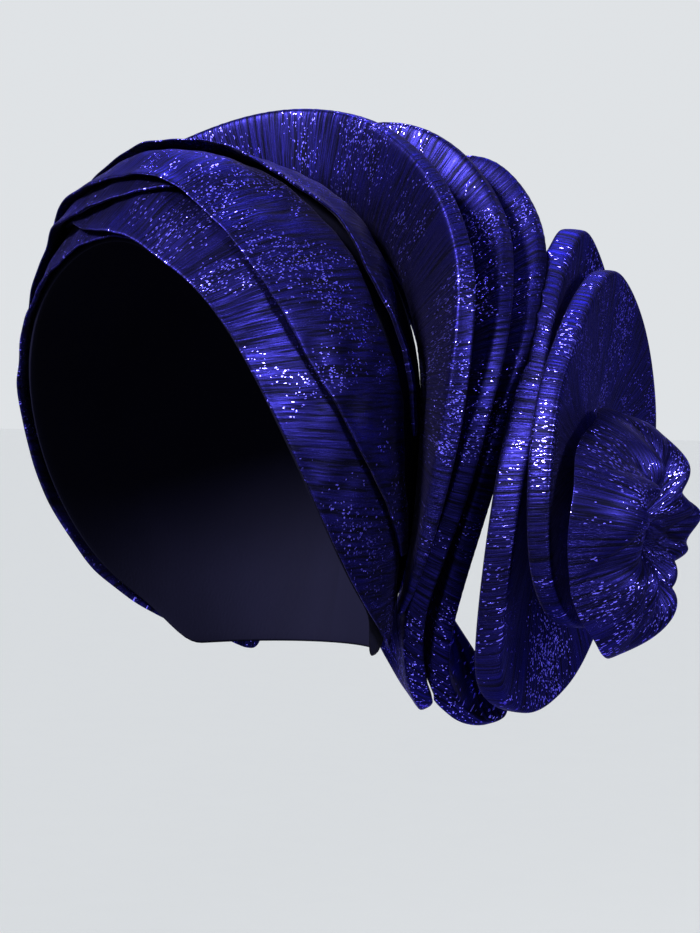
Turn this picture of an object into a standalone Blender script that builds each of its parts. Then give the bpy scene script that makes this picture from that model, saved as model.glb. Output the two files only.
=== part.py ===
"""A ready-tied gele head tie: a crown, crossing pleats, three standing rings, two rosette plates and a rose.

Frame: metres, +Z up, the face opening toward -Y, the wearer's left toward +X. The origin is the middle of the
head at brow height. Tables are in millimetres and degrees.
"""
import bpy
import math
import numpy as np

MM = 0.001

# Head form that the cloth lies on
HALF_WIDTH = 79.0
HALF_DEPTH = 95.0
CENTRE_Y = 4.0
TOP = 102.0
LOWER_REACH = 150.0
NAPE_SHIFT = 15.0
NAPE_SHIFT_AT = 110.0
NAPE_Z = -112.0

# Cloth and padding
CROWN_WALL = 2.0
BAND_WALL = 1.8
ROSE_WALL = 2.6
TRIM_GAP = 0.35
CROWN_GAP = 0.8

# How a band is laid on what is under it
LAY_GAP = 1.1
DRAPE_SLOPE = 0.42
FOLD_LIFT = 1.3
ALPHA_STEP = 6.0
ACROSS = (0.0, 0.1, 0.28, 0.52, 0.76, 1.0)
NARROWEST_BAND = 4.0
STACK_STEP = 2.0
STACK_REACH = 4.0
STACK_MARGIN = 3.0

# How finely the pieces are divided
CROWN_COLUMNS = 40
CROWN_ROWS = 9
BISECT_STEPS = 30
FACE_MARGIN = 1.0
FRONT_STATIONS = 48
BACK_STATIONS = 42
OUTER_PLATE_SIDES = 36
INNER_PLATE_SIDES = 32
ROSE_COLUMNS = 48
ROSE_ROWS = 9
SHARP_ANGLE = 40.0

# Colours of the cloth: base colour, roughness, metallic
NAVY_LAME = ((0.012, 0.012, 0.085), 0.38, 0.6)
NAVY_DARK = ((0.008, 0.008, 0.035), 0.6, 0.2)

# Edge of the face opening: clock angle round the face from the top of the head, and place front to back
FACE_EDGE = (
    # alpha, y
    (0, -70),
    (37, -69),
    (67, -62),
    (89, -52),
    (107, -31),
    (120, -8),
    (135, 30),
    (150, 56),
)

# Bands, as strips between a low folded edge and a high covered edge
RIGHT_BAND_1 = (
    # alpha, low, high
    (-141, 42, 49),
    (-135, 30, 45),
    (-120, -8, 26),
    (-107, -31, 6),
    (-89, -52, -12),
    (-67, -62, -24),
    (-37, -69, -34),
    (-10, -70, -40),
    (14, -69, -46),
)
LEFT_BAND_1 = (
    (-44, -34, -10),
    (-30, -54, -26),
    (-14, -67, -36),
    (6, -70, -40),
    (37, -69, -38),
    (67, -62, -28),
    (89, -52, -14),
    (107, -31, 14),
    (120, -8, 32),
    (135, 30, 42),
    (141, 42, 48),
)
RIGHT_BAND_2 = (
    (-128, 26, 34),
    (-120, 14, 30),
    (-107, -6, 28),
    (-89, -30, 12),
    (-67, -45, -2),
    (-40, -56, -14),
    (-17, -62, -28),
    (3, -57, -34),
    (16, -50, -34),
)
LEFT_BAND_2 = (
    (-76, -2, 12),
    (-58, -22, 6),
    (-36, -42, -4),
    (-14, -52, -12),
    (4, -52, -14),
    (27, -51, -8),
    (52, -48, 4),
    (70, -42, 10),
    (83, -34, 18),
    (97, -14, 30),
    (108, 10, 28),
    (116, 22, 30),
)
LEFT_BAND_3 = (
    (-84, 4, 32),
    (-66, -8, 38),
    (-40, -20, 42),
    (-14, -24, 45),
    (10, -20, 45),
    (28, -13, 44),
    (43, 2, 44),
    (60, 6, 42),
    (71, 14, 38),
    (84, 22, 36),
    (96, 26, 32),
)
BAND_END_EASE = 10.0
BAND_CLEAR = 6.0
BAND_CLEAR_LEAN = 12.0
RING_STAND = 32.0
BAND_LIMIT_PAST = 8.0

# Standing rings: root on the crown (clock angle and y), front edge of the rim, and thickness of the plate there
RING_CLEAR = 0.8
RIM_BEVEL = 1.6
RING_FRONT = (
    # alpha, root_y, x, y, z, thick
    (128, 43, 62, 41, -93, 3),
    (122, 42, 73, 33, -80, 5),
    (114, 41, 84, 25, -62, 7),
    (104, 41, 96, 16, -38, 9),
    (92, 42, 108, 10, -4, 10),
    (78, 42, 112, 12, 34, 10),
    (64, 44, 105, 22, 62, 10),
    (46, 47, 84, 34, 93, 10),
    (26, 48, 50, 44, 117, 10),
    (8, 48, 14, 49, 127, 10),
    (-10, 47, -20, 42, 125, 10),
    (-30, 44, -58, 32, 112, 10),
    (-50, 42, -88, 22, 93, 10),
    (-68, 40, -108, 13, 67, 10),
    (-84, 38, -116, 8, 30, 10),
    (-98, 39, -111, 12, -14, 10),
    (-112, 42, -94, 24, -52, 10),
    (-126, 46, -73, 40, -84, 9),
    (-138, 52, -55, 58, -106, 7),
    (-148, 58, -38, 74, -117, 4),
)
RING_MIDDLE = (
    (160, 68, 26, 98, -130, 4),
    (156, 67, 36, 95, -139, 6),
    (151, 65, 45, 83, -138, 9),
    (145, 62, 51, 67, -128, 10),
    (137, 60, 59, 51, -109, 10),
    (129, 58, 68, 41, -88, 10),
    (119, 57, 82, 35, -64, 10),
    (107, 56, 97, 30, -38, 10),
    (94, 55, 109, 27, -8, 10),
    (80, 57, 114, 35, 24, 10),
    (66, 60, 109, 50, 52, 10),
    (50, 62, 97, 68, 78, 10),
    (34, 63, 76, 78, 103, 10),
    (18, 62, 52, 73, 119, 10),
    (2, 60, 24, 66, 121, 10),
    (-14, 57, -8, 62, 110, 9),
    (-30, 54, -37, 58, 87, 5),
)
RING_BACK = (
    (158, 88, 66, 126, -136, 6),
    (154, 86, 63, 121, -145, 10),
    (150, 82, 57, 107, -147, 11),
    (145, 77, 54, 92, -141, 11),
    (139, 75, 56, 76, -127, 11),
    (131, 72, 66, 62, -105, 11),
    (121, 71, 80, 52, -79, 11),
    (110, 71, 95, 45, -50, 11),
    (98, 71, 108, 42, -20, 11),
    (86, 71, 115, 47, 8, 11),
    (74, 72, 115, 59, 30, 11),
    (60, 72, 111, 74, 52, 11),
    (46, 74, 102, 90, 75, 11),
    (32, 75, 86, 101, 95, 11),
    (16, 75, 66, 103, 108, 11),
    (0, 73, 40, 96, 106, 10),
    (-16, 70, 8, 86, 90, 5),
)

# Rosette plates: rim of the outward face, all the way round. Each is thick enough to reach what is behind it
ROSETTE_OUTER = (
    # x, y, z
    (108, 127, 74),
    (113, 107, 68),
    (120, 83, 50),
    (126, 64, 26),
    (129, 51, 0),
    (128, 40, -32),
    (122, 40, -66),
    (109, 53, -104),
    (99, 70, -126),
    (95, 97, -138),
    (95, 122, -133),
    (98, 142, -116),
    (101, 158, -84),
    (103, 166, -44),
    (104, 165, 0),
    (105, 152, 46),
)
ROSETTE_INNER = (
    (125, 123, 57),
    (133, 90, 47),
    (140, 62, 27),
    (144, 42, 5),
    (146, 32, -22),
    (145, 32, -50),
    (141, 42, -74),
    (134, 66, -92),
    (127, 96, -98),
    (121, 128, -90),
    (117, 154, -68),
    (115, 170, -36),
    (115, 174, -4),
    (118, 158, 34),
)
ROSETTE_OUTER_PLATE = 14.0
ROSETTE_INNER_PLATE = 11.2
ROSETTE_DISH = 5.0

# Rose: its seat on the inner plate, its outline and its folds, in the plane of that plate
ROSE_CENTRE = (133.7, 87.4, -50.0)
ROSE_NORMAL = (0.96, 0.27, 0.02)
ROSE_HEIGHT = 24.0
ROSE_FOLD_START = 0.5
ROSE_OUTLINE = (
    # angle from up toward the back, radius
    (0, 47),
    (40, 50),
    (75, 58),
    (105, 54),
    (135, 42),
    (160, 48),
    (185, 60),
    (215, 56),
    (245, 55),
    (275, 60),
    (305, 50),
    (335, 44),
)
ROSE_FOLDS = (
    # angle, bend of the fold along its length, half-width in degrees, height
    (10, 12, 13, 9),
    (48, -10, 15, 13),
    (88, 14, 15, 15),
    (128, -12, 14, 10),
    (172, 10, 15, 14),
    (218, -14, 16, 12),
    (262, 12, 14, 9),
    (300, -12, 13, 12),
    (336, 8, 11, 8),
)


def cubic(table, column, at):
    """Reads a column of a table at a place in its first column, along a smooth curve with no overshoot."""
    xs = np.array([row[0] for row in table], float)
    ys = np.array([row[column] for row in table], float)
    if xs[0] > xs[-1]:
        xs = xs[::-1]
        ys = ys[::-1]
    at = min(max(at, xs[0]), xs[-1])
    i = min(max(int(np.searchsorted(xs, at)) - 1, 0), len(xs) - 2)
    slope = np.diff(ys) / np.diff(xs)
    inner = np.where(slope[:-1] * slope[1:] > 0, (slope[:-1] + slope[1:]) / 2, 0.0)
    tangent = np.concatenate(([slope[0]], inner, [slope[-1]]))
    width = xs[i + 1] - xs[i]
    t = (at - xs[i]) / width
    start = (1 + 2 * t) * (1 - t) ** 2 * ys[i] + t * (1 - t) ** 2 * width * tangent[i]
    end = t * t * (3 - 2 * t) * ys[i + 1] + t * t * (t - 1) * width * tangent[i + 1]
    return start + end


def through(rows, count, closed):
    """Reads a table of rows at evenly spread places along a Catmull-Rom curve through them."""
    rows = np.array(rows, float)
    last = len(rows) if closed else len(rows) - 1
    places = np.arange(count) * last / count if closed else np.linspace(0, last, count)
    out = []
    for place in places:
        i = min(int(place), last - 1)
        t = place - i
        if closed:
            a, b, c, d = (rows[(i + k) % len(rows)] for k in (-1, 0, 1, 2))
        else:
            b = rows[i]
            c = rows[i + 1]
            a = rows[i - 1] if i > 0 else 2 * b - c
            d = rows[i + 2] if i + 2 < len(rows) else 2 * c - b
        out.append(0.5 * (2 * b + (c - a) * t + (2 * a - 5 * b + 4 * c - d) * t * t + (3 * b - a - 3 * c + d) * t ** 3))
    return np.array(out)


def on_head(alpha, y, lift):
    """A point on the head form, at a clock angle about the y axis and a place along it, lifted off the form."""
    turn = math.radians(alpha)
    reach = math.sqrt(max(0.0, 1.0 - ((y - CENTRE_Y) / HALF_DEPTH) ** 2))
    height = TOP if math.cos(turn) >= 0 else LOWER_REACH
    point = np.array((HALF_WIDTH * reach * math.sin(turn), y, height * reach * math.cos(turn)))
    normal = np.array((point[0] / HALF_WIDTH ** 2, (y - CENTRE_Y) / HALF_DEPTH ** 2, point[2] / height ** 2))
    point += normal / np.linalg.norm(normal) * lift
    if point[2] < 0:
        point[1] += NAPE_SHIFT * (point[2] / NAPE_SHIFT_AT) ** 2
    return point


def around(theta, phi, lift):
    """A point on the head form at an angle round the vertical axis and an angle down from the top."""
    y = CENTRE_Y - HALF_DEPTH * math.sin(phi) * math.cos(theta)
    alpha = math.degrees(math.atan2(math.sin(phi) * math.sin(theta), math.cos(phi)))
    return on_head(alpha, y, lift)


def material(name, look):
    colour, roughness, metallic = look
    made = bpy.data.materials.new(name)
    made.use_nodes = True
    shader = made.node_tree.nodes["Principled BSDF"]
    shader.inputs["Base Color"].default_value = (*colour, 1.0)
    shader.inputs["Roughness"].default_value = roughness
    shader.inputs["Metallic"].default_value = metallic
    return made


def solid(name, points, faces, look, collection):
    """Makes one named object from points in millimetres and faces."""
    mesh = bpy.data.meshes.new(name)
    triangles = [(face[0], face[k], face[k + 1]) for face in faces for k in range(1, len(face) - 1)]
    mesh.from_pydata([tuple(np.asarray(p) * MM) for p in points], [], triangles)
    mesh.validate()
    made = bpy.data.objects.new(name, mesh)
    collection.objects.link(made)
    made.data.materials.append(material(name + "_cloth", look))
    bpy.context.view_layer.objects.active = made
    bpy.ops.object.select_all(action="DESELECT")
    made.select_set(True)
    bpy.ops.object.mode_set(mode="EDIT")
    bpy.ops.mesh.select_all(action="SELECT")
    bpy.ops.mesh.normals_make_consistent(inside=False)
    bpy.ops.object.mode_set(mode="OBJECT")
    made.data.shade_smooth()
    made.data.set_sharp_from_angle(angle=math.radians(SHARP_ANGLE))
    return made


def sheet_faces(rows, columns):
    """Faces of a sheet with an outer and an inner grid of points and a closed rim."""
    faces = []
    inner = rows * columns

    def at(i, j, side):
        return side * inner + i * columns + j

    for i in range(rows - 1):
        for j in range(columns - 1):
            faces.append((at(i, j, 0), at(i, j + 1, 0), at(i + 1, j + 1, 0), at(i + 1, j, 0)))
            faces.append((at(i, j, 1), at(i + 1, j, 1), at(i + 1, j + 1, 1), at(i, j + 1, 1)))
    for i in range(rows - 1):
        faces.append((at(i, 0, 0), at(i + 1, 0, 0), at(i + 1, 0, 1), at(i, 0, 1)))
        faces.append((at(i + 1, columns - 1, 0), at(i, columns - 1, 0), at(i, columns - 1, 1), at(i + 1, columns - 1, 1)))
    for j in range(columns - 1):
        faces.append((at(0, j + 1, 0), at(0, j, 0), at(0, j, 1), at(0, j + 1, 1)))
        faces.append((at(rows - 1, j, 0), at(rows - 1, j + 1, 0), at(rows - 1, j + 1, 1), at(rows - 1, j, 1)))
    return faces


def loop_faces(loops, count, closed):
    """Faces between loops of points: a tube of sections, closed on itself or with flat ends."""
    faces = []
    for i in range(loops if closed else loops - 1):
        for j in range(count):
            a = i * count + j
            b = i * count + (j + 1) % count
            c = (i + 1) % loops * count + (j + 1) % count
            d = (i + 1) % loops * count + j
            faces.append((a, b, c, d))
    if not closed:
        faces.append(tuple(range(count)))
        faces.append(tuple((loops - 1) * count + j for j in reversed(range(count))))
    return faces


def make_crown(collection):
    """The dome of cloth, open at the face and the neck."""
    columns = CROWN_COLUMNS
    rows = CROWN_ROWS

    def last_angle(theta):
        low = 0.2
        high = math.radians(150)
        for _ in range(BISECT_STEPS):
            middle = (low + high) / 2
            point = around(theta, middle, 0.0)
            y = CENTRE_Y - HALF_DEPTH * math.sin(middle) * math.cos(theta)
            alpha = math.degrees(math.atan2(abs(math.sin(middle) * math.sin(theta)), math.cos(middle)))
            past_face = math.cos(theta) > -0.3 and y < cubic(FACE_EDGE, 1, alpha) + FACE_MARGIN
            if past_face or point[2] < NAPE_Z:
                high = middle
            else:
                low = middle
        return low

    outer = [around(0.0, 0.0, 0.0)]
    inner = [around(0.0, 0.0, -CROWN_WALL)]
    for i in range(1, rows + 1):
        for j in range(columns):
            theta = 2 * math.pi * j / columns
            phi = last_angle(theta) * i / rows
            outer.append(around(theta, phi, 0.0))
            inner.append(around(theta, phi, -CROWN_WALL))
    size = len(outer)
    faces = []
    for j in range(columns):
        k = (j + 1) % columns
        faces.append((0, 1 + j, 1 + k))
        faces.append((size, size + 1 + k, size + 1 + j))
        for i in range(rows - 1):
            a = 1 + i * columns + j
            b = 1 + i * columns + k
            faces.append((a, a + columns, b + columns, b))
            faces.append((size + a, size + b, size + b + columns, size + a + columns))
        a = 1 + (rows - 1) * columns + j
        b = 1 + (rows - 1) * columns + k
        faces.append((a, size + a, size + b, b))
    solid("crown_cap", outer + inner, faces, NAVY_DARK, collection)


class Stack:
    """The height of all the cloth laid so far, over the head form's clock angle and y."""

    def __init__(self):
        self.alphas = np.arange(-180.0, 180.0 + STACK_STEP / 2, STACK_STEP)
        self.ys = np.arange(-90.0, 100.0, STACK_STEP)
        self.top = np.zeros((len(self.alphas), len(self.ys)))

    def highest(self, alpha, y):
        near_alpha = np.abs(self.alphas - alpha) <= STACK_REACH
        near_y = np.abs(self.ys - y) <= STACK_REACH
        return float(self.top[np.ix_(near_alpha, near_y)].max())

    def add(self, table, start, end, heights, alphas):
        for i, alpha in enumerate(self.alphas):
            if alpha < start - STACK_STEP or alpha > end + STACK_STEP:
                continue
            inside = min(max(alpha, start), end)
            low, high = band_edges(table, inside)
            for j, y in enumerate(self.ys):
                if low - STACK_MARGIN <= y <= high + STACK_MARGIN:
                    across = min(max((y - low) / (high - low), 0.0), 1.0)
                    column = [np.interp(inside, alphas, heights[:, k]) for k in range(heights.shape[1])]
                    height = float(np.interp(across, ACROSS, column)) + BAND_WALL
                    self.top[i, j] = max(self.top[i, j], height)


def band_limit(alpha):
    """How far back a band may reach at a clock angle, so that it ends just under the leaning rings."""
    limit = HALF_DEPTH
    for table in (RING_FRONT, RING_MIDDLE):
        if table[-1][0] - BAND_LIMIT_PAST <= alpha <= table[0][0] + BAND_LIMIT_PAST:
            root_y = cubic(table, 1, alpha)
            lean = max(0.0, (on_head(alpha, root_y, 0.0)[1] - cubic(table, 3, alpha)) / RING_STAND)
            limit = min(limit, root_y - BAND_CLEAR - BAND_CLEAR_LEAN * lean)
    return limit


def band_edges(table, alpha):
    """The low and high edge of a band at a clock angle."""
    low = cubic(table, 1, alpha)
    high = min(cubic(table, 2, alpha), band_limit(alpha))
    return low, max(high, low + NARROWEST_BAND)


def make_band(name, table, stack, collection):
    """One pleat, laid over the head form and the pleats that are under it."""
    start = float(table[0][0])
    end = float(table[-1][0])
    count = max(4, int(round((end - start) / ALPHA_STEP)) + 1)
    alphas = np.linspace(start, end, count)
    places = np.zeros((count, len(ACROSS), 2))
    heights = np.zeros((count, len(ACROSS)))
    for i, alpha in enumerate(alphas):
        low, high = band_edges(table, alpha)
        for j, across in enumerate(ACROSS):
            y = low + (high - low) * across
            places[i, j] = (alpha, y)
            under = stack.highest(alpha, y)
            heights[i, j] = under + (LAY_GAP if under > 0 else CROWN_GAP)
    points = np.array([[on_head(*place, 0.0) for place in row] for row in places])
    spread = np.linalg.norm(points[:, :, None, None] - points[None, None], axis=-1)
    heights = (heights[None, None] - DRAPE_SLOPE * spread).max(axis=(2, 3))
    for i, alpha in enumerate(alphas):
        ease = min(1.0, (alpha - start) / BAND_END_EASE, (end - alpha) / BAND_END_EASE)
        heights[i, 0] += FOLD_LIFT * max(0.0, ease)
    outer = []
    inner = []
    for i in range(count):
        for j in range(len(ACROSS)):
            outer.append(on_head(*places[i, j], heights[i, j] + BAND_WALL))
            inner.append(on_head(*places[i, j], heights[i, j]))
    stack.add(table, start, end, heights, alphas)
    faces = sheet_faces(count, len(ACROSS))
    solid(name, outer + inner, faces, NAVY_LAME, collection)


def ring_section(row, tangent, grow):
    """The eight corners of a ring's plate at one station, from its root on the crown to its rim and back."""
    alpha, root_y = row[0], row[1]
    thick = row[5]
    rim = row[2:5]
    clear = RING_CLEAR - grow * 2
    root = on_head(alpha, root_y, clear)
    out = rim - root
    reach = np.linalg.norm(out)
    out = out / reach
    back = np.cross(tangent, out)
    back = back / np.linalg.norm(back)
    root_back = on_head(alpha, root_y + thick, clear) + back * grow
    root = root - back * grow
    rim = rim - back * grow + out * grow
    thick = thick + 2 * grow
    bevel = min(RIM_BEVEL, thick * 0.3)
    half = (root + rim) / 2
    rim_back = rim + back * thick
    half_back = (root_back + rim_back) / 2
    return [
        root,
        half,
        rim - out * bevel,
        rim + back * bevel,
        rim_back - back * bevel,
        rim_back - out * bevel,
        half_back,
        root_back,
    ]


def make_ring(name, table, count, grow, collection):
    """A standing ring: a padded plate whose root follows the crown and whose rim follows its own table."""
    rows = through(table, count, False)
    points = []
    for i, row in enumerate(rows):
        before = rows[max(i - 1, 0)]
        after = rows[min(i + 1, count - 1)]
        tangent = after[2:5] - before[2:5]
        tangent = tangent / np.linalg.norm(tangent)
        points += ring_section(row, tangent, grow)
    return solid(name, points, loop_faces(count, 8, False), NAVY_LAME, collection)


def cut_away(target, cutter, cutters):
    """Trims a piece where its neighbour, grown by the gap, would reach it."""
    for old in list(cutter.users_collection):
        old.objects.unlink(cutter)
    cutters.objects.link(cutter)
    cutter.hide_render = True
    cutter.display_type = "WIRE"
    trim = target.modifiers.new("trim_" + cutter.name, "BOOLEAN")
    trim.operation = "DIFFERENCE"
    trim.solver = "EXACT"
    trim.use_self = True
    trim.object = cutter


def make_plate(name, table, thick, dish, count, collection):
    """A round padded plate, its outward face a little dished, from the rim of that face."""
    rim = through(table, count, True)
    centre = rim.mean(axis=0)
    around_rim = np.cross(rim - centre, np.roll(rim, -1, axis=0) - centre).sum(axis=0)
    normal = around_rim / np.linalg.norm(around_rim)
    if normal[0] < 0:
        normal = -normal
    bevel = RIM_BEVEL
    points = []
    profile = (
        # share of the radius, depth below the rim's face
        (0.5, dish * 0.75, 0.0),
        (0.8, dish * 0.3, 0.0),
        (1.0, 0.0, -bevel),
        (1.0, bevel, 0.0),
        (1.0, thick - bevel, 0.0),
        (1.0, thick, -bevel),
        (0.7, thick + dish * 0.3, 0.0),
        (0.4, thick + dish * 0.6, 0.0),
    )
    for share, depth, inset in profile:
        for p in rim:
            out = (p - centre) / np.linalg.norm(p - centre)
            points.append(centre + (p - centre) * share + out * inset - normal * depth)
    loops = len(profile)
    faces = [f for f in loop_faces(loops, count, False)[:-2]]
    points.append(centre - normal * dish)
    points.append(centre - normal * (thick + dish * 0.6))
    for j in range(count):
        k = (j + 1) % count
        faces.append((j, k, len(points) - 2))
        faces.append(((loops - 1) * count + k, (loops - 1) * count + j, len(points) - 1))
    return solid(name, points, faces, NAVY_LAME, collection)


def rose_height(share, angle):
    """Height of the rose over its seat, at a share of its radius and an angle in degrees."""
    dome = (1.0 - share ** 2.6) ** 0.6
    height = ROSE_HEIGHT * dome
    for middle, bend, width, rise in ROSE_FOLDS:
        away = (angle - middle - bend * (share - 0.5) * 2 + 180.0) % 360.0 - 180.0
        along = math.sin(math.pi * min(1.0, share * 0.94)) ** 0.8 * min(1.0, share / ROSE_FOLD_START)
        height += rise * math.exp(-(away / width) ** 2) * along
    swirl = math.cos(math.radians(2 * angle) + 5.0 * share)
    return height + 3.0 * swirl * share * (1.0 - share) * 2


def make_rose(collection):
    """The knot of cloth: one wall of folded cloth, hollow behind, on the inner plate."""
    columns = ROSE_COLUMNS
    rings = ROSE_ROWS
    normal = np.array(ROSE_NORMAL)
    normal = normal / np.linalg.norm(normal)
    up = np.array((0.0, 0.0, 1.0)) - normal * normal[2]
    up = up / np.linalg.norm(up)
    back = np.cross(up, normal)
    if back[1] < 0:
        back = -back
    centre = np.array(ROSE_CENTRE)
    outline = list(ROSE_OUTLINE) + [(360 + ROSE_OUTLINE[0][0], ROSE_OUTLINE[0][1])]
    outer = [centre + normal * (rose_height(0.0, 0.0) + ROSE_WALL)]
    inner = [centre + normal * rose_height(0.0, 0.0)]
    for i in range(1, rings + 1):
        share = i / rings
        for j in range(columns):
            angle = 360.0 * j / columns
            radius = cubic(outline, 1, angle) * share
            turn = math.radians(angle)
            place = centre + (up * math.cos(turn) + back * math.sin(turn)) * radius
            height = rose_height(share, angle)
            outer.append(place + normal * (height + ROSE_WALL))
            inner.append(place + normal * height)
    size = len(outer)
    faces = []
    for j in range(columns):
        k = (j + 1) % columns
        faces.append((0, 1 + j, 1 + k))
        faces.append((size, size + 1 + k, size + 1 + j))
        for i in range(rings - 1):
            a = 1 + i * columns + j
            b = 1 + i * columns + k
            faces.append((a, a + columns, b + columns, b))
            faces.append((size + a, size + b, size + b + columns, size + a + columns))
        a = 1 + (rings - 1) * columns + j
        b = 1 + (rings - 1) * columns + k
        faces.append((a, size + a, size + b, b))
    solid("rose", outer + inner, faces, NAVY_LAME, collection)


def main():
    for old in list(bpy.data.objects):
        bpy.data.objects.remove(old, do_unlink=True)
    collection = bpy.data.collections.new("gele_head_tie")
    bpy.context.scene.collection.children.link(collection)
    make_crown(collection)
    stack = Stack()
    make_band("right_band_1", RIGHT_BAND_1, stack, collection)
    make_band("left_band_1", LEFT_BAND_1, stack, collection)
    make_band("right_band_2", RIGHT_BAND_2, stack, collection)
    make_band("left_band_2", LEFT_BAND_2, stack, collection)
    make_band("left_band_3", LEFT_BAND_3, stack, collection)
    cutters = bpy.data.collections.new("cutters")
    bpy.context.scene.collection.children.link(cutters)
    make_ring("ring_front", RING_FRONT, FRONT_STATIONS, 0.0, collection)
    middle = make_ring("ring_middle", RING_MIDDLE, BACK_STATIONS, 0.0, collection)
    back = make_ring("ring_back", RING_BACK, BACK_STATIONS, 0.0, collection)
    plate = make_plate("rosette_ring_outer", ROSETTE_OUTER, ROSETTE_OUTER_PLATE, ROSETTE_DISH, OUTER_PLATE_SIDES, collection)
    cut_away(middle, make_ring("front_grown", RING_FRONT, FRONT_STATIONS, TRIM_GAP, cutters), cutters)
    cut_away(back, make_ring("middle_grown", RING_MIDDLE, BACK_STATIONS, TRIM_GAP, cutters), cutters)
    cut_away(plate, make_ring("back_grown", RING_BACK, BACK_STATIONS, TRIM_GAP, cutters), cutters)
    make_plate("rosette_ring_inner", ROSETTE_INNER, ROSETTE_INNER_PLATE, ROSETTE_DISH, INNER_PLATE_SIDES, collection)
    make_rose(collection)


main()
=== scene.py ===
"""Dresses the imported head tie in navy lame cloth: pleats, padded rings, rosette plates and the rose."""
import math

import bpy
import numpy as np
from mathutils import Matrix, Vector


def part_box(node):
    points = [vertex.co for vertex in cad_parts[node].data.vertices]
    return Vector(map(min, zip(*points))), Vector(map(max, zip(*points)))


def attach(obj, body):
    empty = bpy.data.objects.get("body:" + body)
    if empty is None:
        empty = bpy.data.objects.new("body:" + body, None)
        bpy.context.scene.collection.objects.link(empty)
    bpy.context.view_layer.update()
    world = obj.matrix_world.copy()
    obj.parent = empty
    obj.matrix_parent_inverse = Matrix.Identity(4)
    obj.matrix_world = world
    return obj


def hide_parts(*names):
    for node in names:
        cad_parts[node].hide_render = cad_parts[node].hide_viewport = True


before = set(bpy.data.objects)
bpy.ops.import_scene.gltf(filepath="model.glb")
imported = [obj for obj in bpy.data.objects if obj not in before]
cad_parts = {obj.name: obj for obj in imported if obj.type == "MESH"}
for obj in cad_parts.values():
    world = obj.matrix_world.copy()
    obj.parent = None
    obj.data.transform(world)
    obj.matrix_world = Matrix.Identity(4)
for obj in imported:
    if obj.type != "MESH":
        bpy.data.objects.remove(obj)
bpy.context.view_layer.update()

bl_info = {
    "name": "Gele Head Tie",
    "version": (1, 0, 0),
    "blender": (4, 5, 0),
    "location": "View3D > Sidebar > Head Tie",
    "description": "Dresses a tied gele: pleats, padded rings, rosette and rose",
    "category": "Object",
}

BANDS = ("right_band_1", "left_band_1", "right_band_2", "left_band_2", "left_band_3")
RINGS = ("ring_front", "ring_middle", "ring_back")
PLATES = ("rosette_ring_outer", "rosette_ring_inner")

# Head form that the cloth lies on, in metres
HALF_WIDTH = 0.079
TOP = 0.102
LOWER_REACH = 0.150
BAND_TURN = 0.085
RING_TURN = 0.120
PLATE_TURN = RING_TURN * 0.7

# How the thread coordinates and the ripples are laid on the pads and the rose
DEPTH_SHARE = 0.7
RIPPLE_SHARE = 0.16
ROSE_NORMAL = (0.96, 0.27, 0.02)
ROSE_TURN = 0.045
HEART_RADIUS = 0.018

# How a copy of a solid is merged and turned to quads
MERGE_DISTANCE = 0.00002
QUAD_ANGLE = math.radians(50)
QUAD_SKEW = math.radians(60)

# Camera: the photograph's angle, distance and framing
PHOTO_WIDTH = 700
PHOTO_HEIGHT = 933
ORIGIN_PIXEL = (220.0, 400.0)
PIXELS_PER_METRE = 2350.0
CAMERA_AZIMUTH = 36.0
CAMERA_ELEVATION = 2.0
CAMERA_DISTANCE = 1.15
SENSOR = 36.0
LAMP_SPREAD = math.radians(75)


class Socket:
    """A shader socket with arithmetic: each expression adds its Math node."""

    def __init__(self, cloth, socket):
        self.cloth = cloth
        self.socket = socket

    def _math(self, operation, *values):
        return self.cloth.node("ShaderNodeMath", {"operation": operation}, dict(enumerate(values)))

    def __add__(self, other):
        return self._math("ADD", self, other)

    def __radd__(self, other):
        return self._math("ADD", other, self)

    def __sub__(self, other):
        return self._math("SUBTRACT", self, other)

    def __rsub__(self, other):
        return self._math("SUBTRACT", other, self)

    def __mul__(self, other):
        return self._math("MULTIPLY", self, other)

    def __rmul__(self, other):
        return self._math("MULTIPLY", other, self)

    def __gt__(self, other):
        return self._math("GREATER_THAN", self, other)

    def clamp(self):
        made = self._math("ADD", self, 0.0)
        made.socket.node.use_clamp = True
        return made


class Cloth:
    """A material whose nodes are written as expressions."""

    def __init__(self, name):
        self.material = bpy.data.materials.new(name)
        self.material.use_nodes = True
        self.tree = self.material.node_tree
        self.shader = self.tree.nodes["Principled BSDF"]

    def node(self, kind, settings=None, sockets=None, output=0):
        made = self.tree.nodes.new(kind)
        for key, value in (settings or {}).items():
            setattr(made, key, value)
        for key, value in (sockets or {}).items():
            self.set(made.inputs[key], value)
        return Socket(self, made.outputs[output])

    def set(self, target, value):
        if isinstance(value, Socket):
            self.tree.links.new(value.socket, target)
        else:
            target.default_value = value

    def mix(self, factor, low, high):
        return self.node(
            "ShaderNodeMix",
            {"data_type": "RGBA"},
            {0: factor, 6: low, 7: high},
            output=2,
        )

    def vector(self, operation, a, b):
        return self.node("ShaderNodeVectorMath", {"operation": operation}, {0: a, 1: b})

    def thread_map(self):
        return self.node("ShaderNodeUVMap", {"uv_map": "threads"})

    def noise(self, place, stretch, detail=2.0, roughness=0.5):
        scaled = self.vector("MULTIPLY", place, stretch)
        return self.node(
            "ShaderNodeTexNoise",
            {"noise_dimensions": "3D"},
            {"Vector": scaled, "Scale": 1.0, "Detail": detail, "Roughness": roughness},
        )


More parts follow.
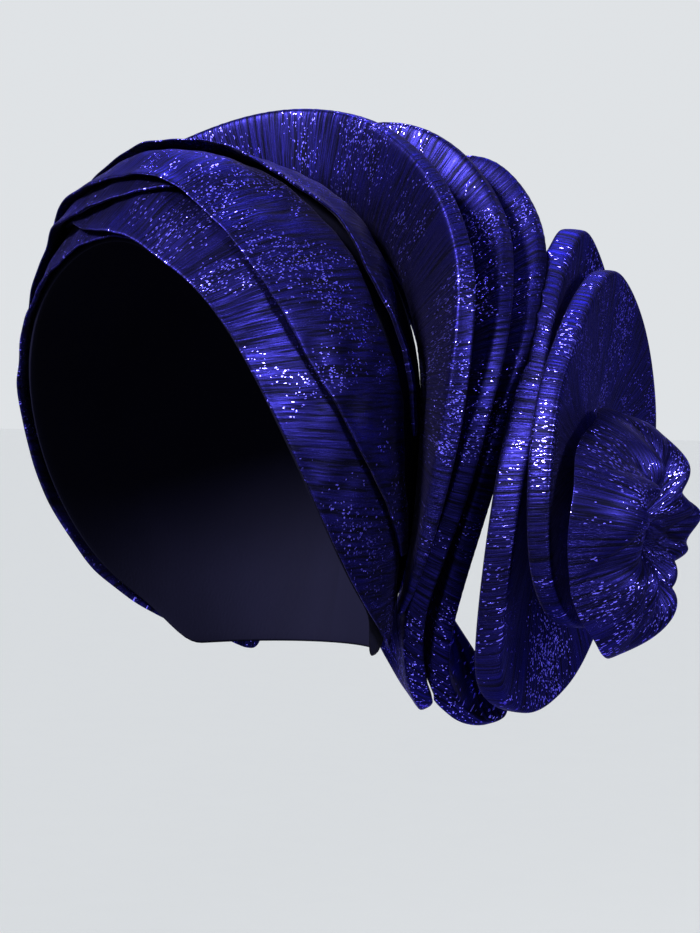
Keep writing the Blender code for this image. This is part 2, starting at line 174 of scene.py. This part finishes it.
def lame(name, look):
    """Navy metallic lame: fine cross ribs with painted shade in their grooves, glitter, soft tone changes,
    and a crisp sheen.
    """
    cloth = Cloth(name)
    place = cloth.thread_map()
    thread = cloth.noise(place, (1500.0, 60.0, 1.0), 2.0, 0.6)
    rib = cloth.noise(place, (620.0, 26.0, 1.0), 2.0, 0.55)
    tone = cloth.noise(place, (34.0, 20.0, 1.0), 3.0, 0.6)
    cells = cloth.node(
        "ShaderNodeTexVoronoi",
        {"feature": "F1"},
        {"Vector": cloth.vector("MULTIPLY", place, (2600.0, 1300.0, 1.0)), "Scale": 1.0},
        output=1,
    )
    pick = cloth.node("ShaderNodeSeparateColor", {}, {0: cells})
    patch = ((tone - 0.46) * 4.0).clamp()
    glitter = (pick + patch * look.glitter) > 1.0
    # Painted shade: the rib and thread noise darkens the grooves toward the shadow colour, which is partly
    # the weave's own dark ground.
    shade = ((thread * 0.55 + rib * 0.65 - 0.6) * 4.0 + 0.35).clamp()
    body = cloth.mix(shade, (*look.shadow, 1.0), (*look.colour, 1.0))
    cloth.set(cloth.shader.inputs["Base Color"], cloth.mix(glitter * 0.85, body, (*look.spark, 1.0)))
    cloth.set(cloth.shader.inputs["Roughness"], (0.5 - shade * 0.14 - glitter * 0.18).clamp())
    cloth.shader.inputs["Metallic"].default_value = look.metallic
    cloth.shader.inputs["Specular IOR Level"].default_value = 0.5
    cloth.shader.inputs["Specular Tint"].default_value = (*look.grazing, 1.0)
    cloth.shader.inputs["Sheen Weight"].default_value = look.sheen
    cloth.shader.inputs["Sheen Roughness"].default_value = 0.4
    cloth.shader.inputs["Sheen Tint"].default_value = (0.45, 0.4, 0.9, 1.0)
    height = rib * 0.7 + thread * 0.5 + pick * 0.35
    bump = cloth.node(
        "ShaderNodeBump",
        {},
        {"Strength": 0.75, "Distance": 0.0006, "Height": height},
    )
    cloth.set(cloth.shader.inputs["Normal"], bump)
    return cloth.material


def dark_cloth(name, look):
    """Plain dark navy cloth with a fine weave and a low sheen."""
    cloth = Cloth(name)
    place = cloth.thread_map()
    weave = cloth.noise(place, (900.0, 900.0, 1.0), 2.0, 0.5)
    tone = cloth.noise(place, (25.0, 25.0, 1.0), 3.0, 0.55)
    deep = tuple(0.6 * c for c in look.plain)
    cloth.set(
        cloth.shader.inputs["Base Color"],
        cloth.mix(tone, (*deep, 1.0), (*look.plain, 1.0)),
    )
    cloth.set(cloth.shader.inputs["Roughness"], 0.78 + weave * 0.12)
    cloth.shader.inputs["Specular IOR Level"].default_value = 0.02
    bump = cloth.node("ShaderNodeBump", {}, {"Strength": 0.4, "Distance": 0.0003, "Height": weave})
    cloth.set(cloth.shader.inputs["Normal"], bump)
    return cloth.material


def plain(name, colour, roughness):
    """A plain matt surface with a barely seen grain."""
    cloth = Cloth(name)
    place = cloth.node("ShaderNodeTexCoord", {}, {}, output=3)
    grain = cloth.noise(place, (9.0, 9.0, 9.0), 3.0, 0.5)
    low = tuple(c * 0.985 for c in colour)
    cloth.set(cloth.shader.inputs["Base Color"], cloth.mix(grain, (*low, 1.0), (*colour, 1.0)))
    cloth.shader.inputs["Roughness"].default_value = roughness
    return cloth.material


def refined(node, name, levels):
    """A new piece from a copy of a solid: its triangles merged into quads, then subdivided smooth."""
    bpy.ops.object.select_all(action="DESELECT")
    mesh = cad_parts[node].data.copy()
    mesh.name = name
    mesh.materials.clear()
    piece = bpy.data.objects.new(name, mesh)
    bpy.context.collection.objects.link(piece)
    bpy.context.view_layer.objects.active = piece
    piece.select_set(True)
    bpy.ops.object.mode_set(mode="EDIT")
    bpy.ops.mesh.select_all(action="SELECT")
    bpy.ops.mesh.remove_doubles(threshold=MERGE_DISTANCE)
    bpy.ops.mesh.tris_convert_to_quads(face_threshold=QUAD_ANGLE, shape_threshold=QUAD_SKEW)
    bpy.ops.object.mode_set(mode="OBJECT")
    smooth = piece.modifiers.new("smooth", "SUBSURF")
    smooth.levels = levels
    smooth.render_levels = levels
    bpy.ops.object.modifier_apply(modifier=smooth.name)
    piece.data.shade_smooth()
    return piece


def coordinates(piece):
    """Every vertex's place, as rows of x, y and z."""
    points = np.zeros(len(piece.data.vertices) * 3)
    piece.data.vertices.foreach_get("co", points)
    return points.reshape(-1, 3)


def outward_normals(piece):
    """Every vertex's outward direction, as rows of x, y and z."""
    return np.array([tuple(vertex.normal) for vertex in piece.data.vertices])


def move_to(piece, points):
    """Puts every vertex at its new place."""
    piece.data.vertices.foreach_set("co", points.astype(np.float32).ravel())
    piece.data.update()


def thread_coordinates(piece, along, across):
    """Writes the cloth's own coordinates, in metres, with no jump where a piece closes on itself."""
    layer = piece.data.uv_layers.new(name="threads")
    loops = np.zeros(len(piece.data.loops), dtype=np.int32)
    piece.data.loops.foreach_get("vertex_index", loops)
    pairs = np.stack([along[loops], across[loops]], axis=1)
    turn = along.max() - along.min()
    starts = np.zeros(len(piece.data.polygons), dtype=np.int32)
    totals = np.zeros(len(piece.data.polygons), dtype=np.int32)
    piece.data.polygons.foreach_get("loop_start", starts)
    piece.data.polygons.foreach_get("loop_total", totals)
    first = np.repeat(pairs[starts, 0], totals)
    jump = pairs[:, 0] - first
    pairs[:, 0] -= np.where(jump > turn / 2, turn, 0.0)
    pairs[:, 0] += np.where(jump < -turn / 2, turn, 0.0)
    layer.data.foreach_set("uv", pairs.astype(np.float32).ravel())


def clock(points):
    """Clock angle about the y axis on the head form, in radians."""
    height = np.where(points[:, 2] >= 0, TOP, LOWER_REACH)
    return np.arctan2(points[:, 0] / HALF_WIDTH, points[:, 2] / height)


def finish_piece(piece, node, material):
    """Gives a piece its material, hangs it on the root body and hides the solid it stands for."""
    piece.data.materials.append(material)
    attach(piece, "root")
    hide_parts(node)


class HeadTieLook(bpy.types.PropertyGroup):
    """Sizes and colours of the cloth."""

    colour: bpy.props.FloatVectorProperty(
        name="Cloth", description="Colour of the lame's lit threads", subtype="COLOR",
        default=(0.007, 0.006, 0.075), min=0.0, max=1.0)
    # Painted shade colour for the rib grooves, partly the dark ground of the weave
    shadow: bpy.props.FloatVectorProperty(
        name="Ground and groove shade", description="Colour between the threads", subtype="COLOR",
        default=(0.0015, 0.0015, 0.006), min=0.0, max=1.0)
    spark: bpy.props.FloatVectorProperty(
        name="Glitter", description="Colour of the glitter", subtype="COLOR",
        default=(0.16, 0.14, 0.95), min=0.0, max=1.0)
    grazing: bpy.props.FloatVectorProperty(
        name="Grazing tint", description="Colour of the lame's reflection at a grazing angle",
        subtype="COLOR", default=(0.22, 0.20, 0.55), min=0.0, max=1.0)
    plain: bpy.props.FloatVectorProperty(
        name="Crown cloth", description="Colour of the plain cloth of the crown", subtype="COLOR",
        default=(0.002, 0.002, 0.007), min=0.0, max=1.0)
    metallic: bpy.props.FloatProperty(
        name="Metallic", description="How metallic the cloth is", default=0.97, min=0.0, max=1.0,
        subtype="FACTOR")
    glitter: bpy.props.FloatProperty(
        name="Glitter amount", description="How much of the cloth glitters", default=0.16, min=0.0, max=1.0,
        subtype="FACTOR")
    sheen: bpy.props.FloatProperty(
        name="Sheen", description="Pale sheen at a grazing angle", default=0.015, min=0.0, max=1.0,
        subtype="FACTOR")
    wrinkle: bpy.props.FloatProperty(
        name="Wrinkle", description="Height of the small wrinkles in the pleats", default=0.0007, min=0.0,
        max=0.003, unit="LENGTH")
    petal: bpy.props.FloatProperty(
        name="Petals", description="Depth of the rose's petal folds", default=0.0026, min=0.0,
        max=0.006, unit="LENGTH")
    heart: bpy.props.FloatProperty(
        name="Heart", description="How far the rose's middle is tucked in", default=0.009, min=0.0,
        max=0.015, unit="LENGTH")
    pad: bpy.props.FloatProperty(
        name="Padding", description="Swell of the rings between their edges", default=0.0005, min=0.0,
        max=0.003, unit="LENGTH")


class HeadTieOperator:
    """Shared by the operators that make pieces."""

    bl_options = {"REGISTER", "UNDO"}


class HEADTIE_OT_crown(HeadTieOperator, bpy.types.Operator):
    """Makes the dome of cloth that sits on the head"""

    bl_idname = "headtie.crown"
    bl_label = "Crown"

    def execute(self, context):
        look = context.scene.head_tie_look
        piece = refined("crown_cap", "crown_cloth", 2)
        points = coordinates(piece)
        thread_coordinates(piece, clock(points) * BAND_TURN, points[:, 1].copy())
        finish_piece(piece, "crown_cap", dark_cloth("crown_dark_navy", look))
        return {"FINISHED"}


class HEADTIE_OT_bands(HeadTieOperator, bpy.types.Operator):
    """Makes the pleats that cross at the forehead, with small wrinkles that run across them"""

    bl_idname = "headtie.bands"
    bl_label = "Pleats"

    def execute(self, context):
        look = context.scene.head_tie_look
        material = lame("pleat_lame", look)
        for number, node in enumerate(BANDS):
            piece = refined(node, node + "_cloth", 3)
            points = coordinates(piece)
            out = points / np.linalg.norm(points, axis=1)[:, None]
            along = clock(points) * BAND_TURN
            wave = np.sin(along * 420.0 + points[:, 1] * 260.0 + number) * 0.45
            wave += np.sin(along * 170.0 - points[:, 1] * 90.0 + 2.1 * number) * 0.9
            wave += np.sin(points[:, 1] * 330.0 + along * 60.0 + 0.7 * number) * 0.5
            points = points + out * (wave * look.wrinkle * 0.5)[:, None]
            move_to(piece, points)
            thread_coordinates(piece, along, points[:, 1].copy())
            finish_piece(piece, node, material)
        return {"FINISHED"}


class HEADTIE_OT_rings(HeadTieOperator, bpy.types.Operator):
    """Makes the three padded rings that stand round the crown"""

    bl_idname = "headtie.rings"
    bl_label = "Standing rings"

    def execute(self, context):
        look = context.scene.head_tie_look
        material = lame("ring_lame", look)
        for node in RINGS:
            piece = refined(node, node + "_pad", 3)
            points = coordinates(piece)
            along = np.arctan2(points[:, 0], points[:, 2]) * RING_TURN
            across = np.linalg.norm(points[:, (0, 2)], axis=1) + points[:, 1] * DEPTH_SHARE
            ripple = np.sin(along * 1150.0) * 0.5 + np.sin(along * 1730.0 + across * 40.0) * 0.5
            points = points + outward_normals(piece) * (ripple * look.pad * RIPPLE_SHARE)[:, None]
            move_to(piece, points)
            thread_coordinates(piece, along, across)
            finish_piece(piece, node, material)
        return {"FINISHED"}


class HEADTIE_OT_plates(HeadTieOperator, bpy.types.Operator):
    """Makes the two round padded plates of the rosette"""

    bl_idname = "headtie.plates"
    bl_label = "Rosette plates"

    def execute(self, context):
        look = context.scene.head_tie_look
        material = lame("plate_lame", look)
        for node in PLATES:
            piece = refined(node, node + "_pad", 3)
            points = coordinates(piece)
            away = points - points.mean(axis=0)
            along = np.arctan2(away[:, 1], away[:, 2]) * PLATE_TURN
            across = np.linalg.norm(away, axis=1) + points[:, 0] * DEPTH_SHARE
            thread_coordinates(piece, along, across)
            finish_piece(piece, node, material)
        return {"FINISHED"}


class HEADTIE_OT_rose(HeadTieOperator, bpy.types.Operator):
    """Makes the crumpled rose at the middle of the rosette"""

    bl_idname = "headtie.rose"
    bl_label = "Rose"

    def execute(self, context):
        look = context.scene.head_tie_look
        piece = refined("rose", "rose_cloth", 3)
        points = coordinates(piece)
        low, high = (np.array(corner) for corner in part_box("rose"))
        away = points - (low + high) / 2
        angle = np.arctan2(away[:, 1], away[:, 2])
        radius = np.linalg.norm(away[:, 1:], axis=1)
        share = np.clip(radius / radius.max(), 0.0, 1.0)
        petal = 2.0 * np.abs(np.sin(angle * 3.0 + radius * 60.0)) ** 0.7 - 1.0
        fold = petal + np.sin(angle * 11.0 - radius * 150.0) * 0.25
        outward = np.array(ROSE_NORMAL)
        outward = outward / np.linalg.norm(outward)
        fade = np.sin(math.pi * share) ** 1.6
        dip = look.heart * np.exp(-(radius / HEART_RADIUS) ** 2)
        points = points + outward * (fold * fade * look.petal - dip)[:, None]
        move_to(piece, points)
        thread_coordinates(piece, angle * ROSE_TURN, radius.copy())
        finish_piece(piece, "rose", lame("rose_lame", look))
        return {"FINISHED"}


def view_axes():
    """The camera's back, right and up directions at the photograph's angle."""
    turn = math.radians(CAMERA_AZIMUTH)
    rise = math.radians(CAMERA_ELEVATION)
    back = np.array((math.sin(turn) * math.cos(rise), -math.cos(turn) * math.cos(rise), math.sin(rise)))
    right = np.array((math.cos(turn), math.sin(turn), 0.0))
    return back, right, np.cross(back, right)


def add_light(name, place, size, energy, colour, aim):
    """A soft round lamp that is turned to the head tie and lights little else."""
    light = bpy.data.lights.new(name, "AREA")
    light.shape = "DISK"
    light.size = size
    light.energy = energy
    light.spread = LAMP_SPREAD
    light.color = colour
    made = bpy.data.objects.new(name, light)
    made.location = place
    made.rotation_euler = (Vector(aim) - Vector(place)).to_track_quat("-Z", "Y").to_euler()
    bpy.context.collection.objects.link(made)


class HEADTIE_OT_stage(HeadTieOperator, bpy.types.Operator):
    """Makes the pale floor and backdrop, the lights and the camera"""

    bl_idname = "headtie.stage"
    bl_label = "Stage"

    floor_z: bpy.props.FloatProperty(
        name="Floor", description="Height of the floor", default=-1.3, unit="LENGTH")

    def execute(self, context):
        back, right, up = view_axes()
        aim = right * (PHOTO_WIDTH / 2 - ORIGIN_PIXEL[0]) / PIXELS_PER_METRE
        aim = aim - up * (PHOTO_HEIGHT / 2 - ORIGIN_PIXEL[1]) / PIXELS_PER_METRE
        camera = bpy.data.cameras.new("camera")
        camera.sensor_width = SENSOR
        camera.lens = SENSOR * PIXELS_PER_METRE * CAMERA_DISTANCE / PHOTO_HEIGHT
        made = bpy.data.objects.new("camera", camera)
        rows = np.stack([right, up, back, aim + back * CAMERA_DISTANCE], axis=1)
        made.matrix_world = Matrix([*[tuple(row) for row in rows], (0.0, 0.0, 0.0, 1.0)])
        bpy.context.collection.objects.link(made)
        context.scene.camera = made

        bpy.ops.object.select_all(action="DESELECT")
        bpy.ops.mesh.primitive_plane_add(size=90.0, location=(0.0, 0.0, self.floor_z))
        floor = context.active_object
        floor.name = "floor"
        bpy.ops.object.transform_apply(location=True, rotation=True, scale=True)
        floor.data.materials.append(plain("floor_pale", (0.93, 0.935, 0.94), 0.9))

        world = bpy.data.worlds.new("studio")
        world.use_nodes = True
        sky = world.node_tree.nodes["Background"]
        sky.inputs[0].default_value = (0.74, 0.765, 0.79, 1.0)
        sky.inputs[1].default_value = 1.0
        context.scene.world = world
        context.scene.view_settings.view_transform = "Standard"
        place = aim + back * 0.9 - right * 0.75 + up * 0.75
        add_light("key", tuple(place), 0.35, 24.0, (1.0, 0.98, 0.96), tuple(aim))
        place = aim + back * 0.8 + right * 0.9 + up * 0.25
        add_light("side", tuple(place), 0.35, 6.0, (0.95, 0.96, 1.0), tuple(aim))
        place = aim - back * 0.5 + up * 1.0
        add_light("top", tuple(place), 0.45, 4.0, (1.0, 1.0, 1.0), tuple(aim))
        return {"FINISHED"}


class HEADTIE_PT_panel(bpy.types.Panel):
    """Lists the steps that make the head tie"""

    bl_label = "Head Tie"
    bl_idname = "HEADTIE_PT_panel"
    bl_space_type = "VIEW_3D"
    bl_region_type = "UI"
    bl_category = "Head Tie"

    def draw(self, context):
        column = self.layout.column()
        for operator in STEPS:
            column.operator(operator.bl_idname)
        for name in HeadTieLook.__annotations__:
            column.prop(context.scene.head_tie_look, name)


STEPS = (
    HEADTIE_OT_crown,
    HEADTIE_OT_bands,
    HEADTIE_OT_rings,
    HEADTIE_OT_plates,
    HEADTIE_OT_rose,
    HEADTIE_OT_stage,
)
CLASSES = (HeadTieLook, *STEPS, HEADTIE_PT_panel)


def register():
    for made in CLASSES:
        bpy.utils.register_class(made)
    bpy.types.Scene.head_tie_look = bpy.props.PointerProperty(type=HeadTieLook)


def unregister():
    del bpy.types.Scene.head_tie_look
    for made in reversed(CLASSES):
        bpy.utils.unregister_class(made)


def main():
    register()
    bpy.ops.headtie.crown()
    bpy.ops.headtie.bands()
    bpy.ops.headtie.rings()
    bpy.ops.headtie.plates()
    bpy.ops.headtie.rose()
    bpy.ops.headtie.stage()


if __name__ == "__main__":
    main()
